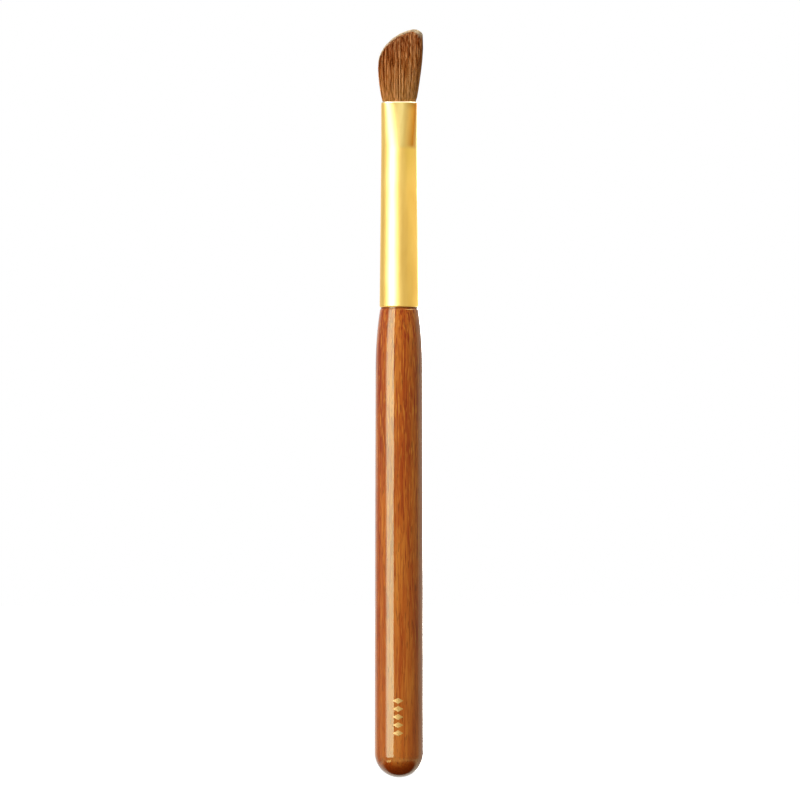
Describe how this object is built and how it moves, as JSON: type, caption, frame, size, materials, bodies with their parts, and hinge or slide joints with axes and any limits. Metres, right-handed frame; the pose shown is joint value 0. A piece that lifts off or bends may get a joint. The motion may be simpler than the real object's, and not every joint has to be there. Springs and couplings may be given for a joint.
{
  "type": "concealer brush",
  "caption": "Slim make-up brush with a round-ended lacquered wooden handle, a gold ferrule pressed oval at its mouth, and a slanted tuft of brown hair.",
  "frame": {"origin": "tip of the round butt, on the handle's axis", "axes": "+Z along the handle's axis from the butt to the hair, +X towards the tall corner of the slanted tuft, Y across the flattened sides of the ferrule's mouth"},
  "size_m": [0.0106, 0.0106, 0.1599],
  "materials": {
    "lacquered_wood": "clear gloss lacquer over red-brown stained wood",
    "gold_metal": "satin gold anodised, drawn tube",
    "brown_hair": "soft brown hair with paler tips",
    "waxed_thread": "waxed cotton thread",
    "amber_resin": "cured epoxy",
    "cured_glue": "cured wood glue"
  },
  "bodies": {
    "root": {"wooden_handle": "lacquered_wood", "ferrule": "gold_metal", "hair_tuft": "brown_hair", "root_binding_thread": "waxed_thread", "root_resin_plug": "amber_resin", "tenon_glue_film": "cured_glue"}
  },
  "joints": []
}
